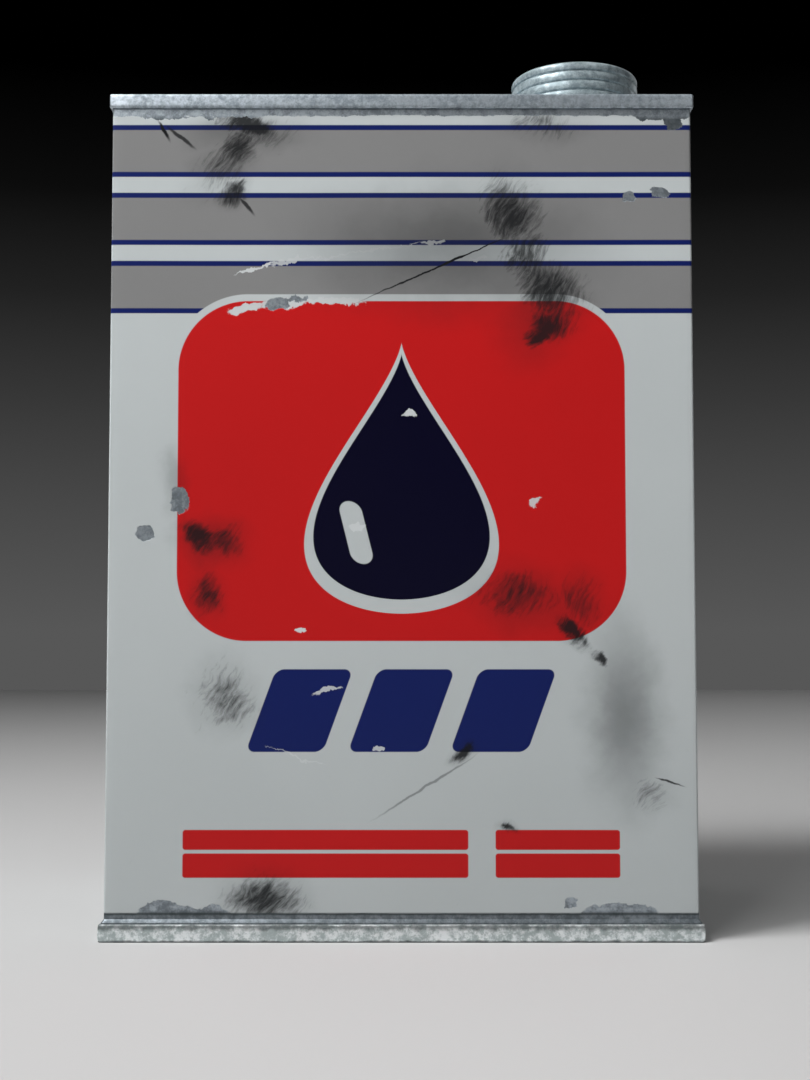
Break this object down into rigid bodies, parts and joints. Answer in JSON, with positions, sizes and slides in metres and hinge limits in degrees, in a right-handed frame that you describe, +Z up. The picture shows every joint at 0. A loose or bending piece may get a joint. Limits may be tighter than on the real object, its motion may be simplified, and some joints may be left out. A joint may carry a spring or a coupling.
{
  "type": "oil can",
  "caption": "Oblong tinplate oil can with double-seamed ends, an off-centre screw neck and cap, and a wire handle that folds flat on top.",
  "frame": {"origin": "middle of the can's footprint, on the surface that it stands on", "axes": "+Z up through the neck, +X to the right along the wide front with the neck on that side, +Y to the back"},
  "size_m": [0.171, 0.109, 0.266],
  "materials": {
    "litho_tinplate": "printed enamel on tinplate, pale grey with stripes and a red panel, satin, sooty and chipped",
    "tinned_steel": "bare tinned steel, mottled and dulled, semi-gloss",
    "handle_wire": "drawn galvanised wire, dull",
    "solder": "soft solder, dull and uneven",
    "seam_compound": "cured sealing compound",
    "liner_board": "waxed pulp board",
    "liner_foil": "bright foil facing"
  },
  "bodies": {
    "can": {"body_shell": "litho_tinplate", "side_seam_solder": "solder", "top_end": "tinned_steel", "bottom_end": "tinned_steel", "top_seam_compound": "seam_compound", "bottom_seam_compound": "seam_compound", "neck": "tinned_steel", "neck_solder": "solder", "handle_ear_left": "tinned_steel", "handle_ear_right": "tinned_steel", "ear_solder_left": "solder", "ear_solder_right": "solder"},
    "liner": {"cap_liner_board": "liner_board", "cap_liner_foil": "liner_foil"},
    "cap": {"cap_shell": "tinned_steel"},
    "handle": {"handle_bail": "handle_wire"}
  },
  "joints": [
    {"name": "cap_lift", "type": "slide", "parent": "can", "child": "liner", "axis": [0, 0, 1], "range_m": [0, 0.02115]},
    {"name": "cap_turn", "type": "hinge", "parent": "liner", "child": "cap", "pos_m": [0.0563, 0, 0.2402], "axis": [0, 0, 1], "range_deg": [0, 1800]},
    {"name": "handle_fold", "type": "hinge", "parent": "can", "child": "handle", "pos_m": [-0.0161, 0, 0.2425], "axis": [1, 0, 0], "range_deg": [0, 180]}
  ],
  "couplings": [
    {"joint": "cap_lift", "follows": "cap_turn", "m_per_rad": 0.00067322}
  ]
}
